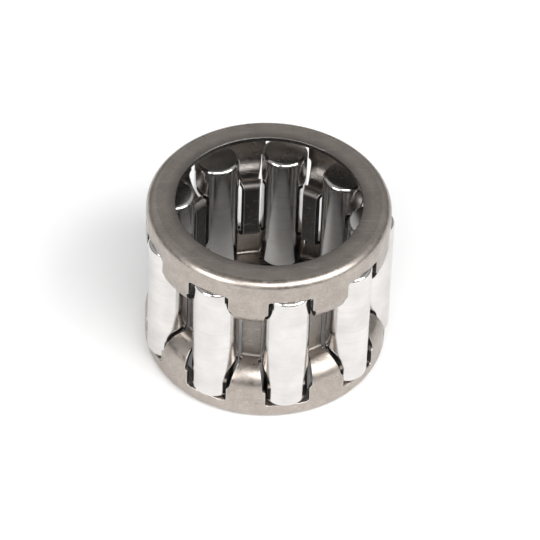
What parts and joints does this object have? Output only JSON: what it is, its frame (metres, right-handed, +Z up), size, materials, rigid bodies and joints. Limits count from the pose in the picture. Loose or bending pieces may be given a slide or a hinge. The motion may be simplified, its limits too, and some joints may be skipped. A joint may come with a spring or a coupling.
{
  "type": "needle roller bearing",
  "caption": "Loose needle roller and cage assembly: thick steel rollers held in the pockets of a folded, waisted sheet-steel cage, open through the middle for a shaft.",
  "frame": {"origin": "where the bearing axis meets the lower end face of the cage", "axes": "+Z up along the bearing axis; -Y is the front, and roller_1 stands 12 degrees from -Y towards +X"},
  "size_m": [0.0374, 0.0375, 0.028],
  "materials": {
    "cage_steel": "satin",
    "roller_steel": "polished"
  },
  "bodies": {
    "cage": {"cage": "cage_steel"},
    "roller_1": {"roller_1": "roller_steel"},
    "roller_2": {"roller_2": "roller_steel"},
    "roller_3": {"roller_3": "roller_steel"},
    "roller_4": {"roller_4": "roller_steel"},
    "roller_5": {"roller_5": "roller_steel"},
    "roller_6": {"roller_6": "roller_steel"},
    "roller_7": {"roller_7": "roller_steel"},
    "roller_8": {"roller_8": "roller_steel"},
    "roller_9": {"roller_9": "roller_steel"}
  },
  "joints": [
    {"name": "roller_1_spin", "type": "hinge", "parent": "cage", "child": "roller_1", "pos_m": [0.00322, -0.01516, 0.0136], "axis": [0, 0, 1], "continuous": true},
    {"name": "roller_2_spin", "type": "hinge", "parent": "cage", "child": "roller_2", "pos_m": [0.01221, -0.00954, 0.0136], "axis": [0, 0, 1], "continuous": true},
    {"name": "roller_3_spin", "type": "hinge", "parent": "cage", "child": "roller_3", "pos_m": [0.01549, 0.00054, 0.0136], "axis": [0, 0, 1], "continuous": true},
    {"name": "roller_4_spin", "type": "hinge", "parent": "cage", "child": "roller_4", "pos_m": [0.01152, 0.01037, 0.0136], "axis": [0, 0, 1], "continuous": true},
    {"name": "roller_5_spin", "type": "hinge", "parent": "cage", "child": "roller_5", "pos_m": [0.00216, 0.01535, 0.0136], "axis": [0, 0, 1], "continuous": true},
    {"name": "roller_6_spin", "type": "hinge", "parent": "cage", "child": "roller_6", "pos_m": [-0.00821, 0.01314, 0.0136], "axis": [0, 0, 1], "continuous": true},
    {"name": "roller_7_spin", "type": "hinge", "parent": "cage", "child": "roller_7", "pos_m": [-0.01474, 0.00479, 0.0136], "axis": [0, 0, 1], "continuous": true},
    {"name": "roller_8_spin", "type": "hinge", "parent": "cage", "child": "roller_8", "pos_m": [-0.01437, -0.00581, 0.0136], "axis": [0, 0, 1], "continuous": true},
    {"name": "roller_9_spin", "type": "hinge", "parent": "cage", "child": "roller_9", "pos_m": [-0.00728, -0.01369, 0.0136], "axis": [0, 0, 1], "continuous": true}
  ]
}
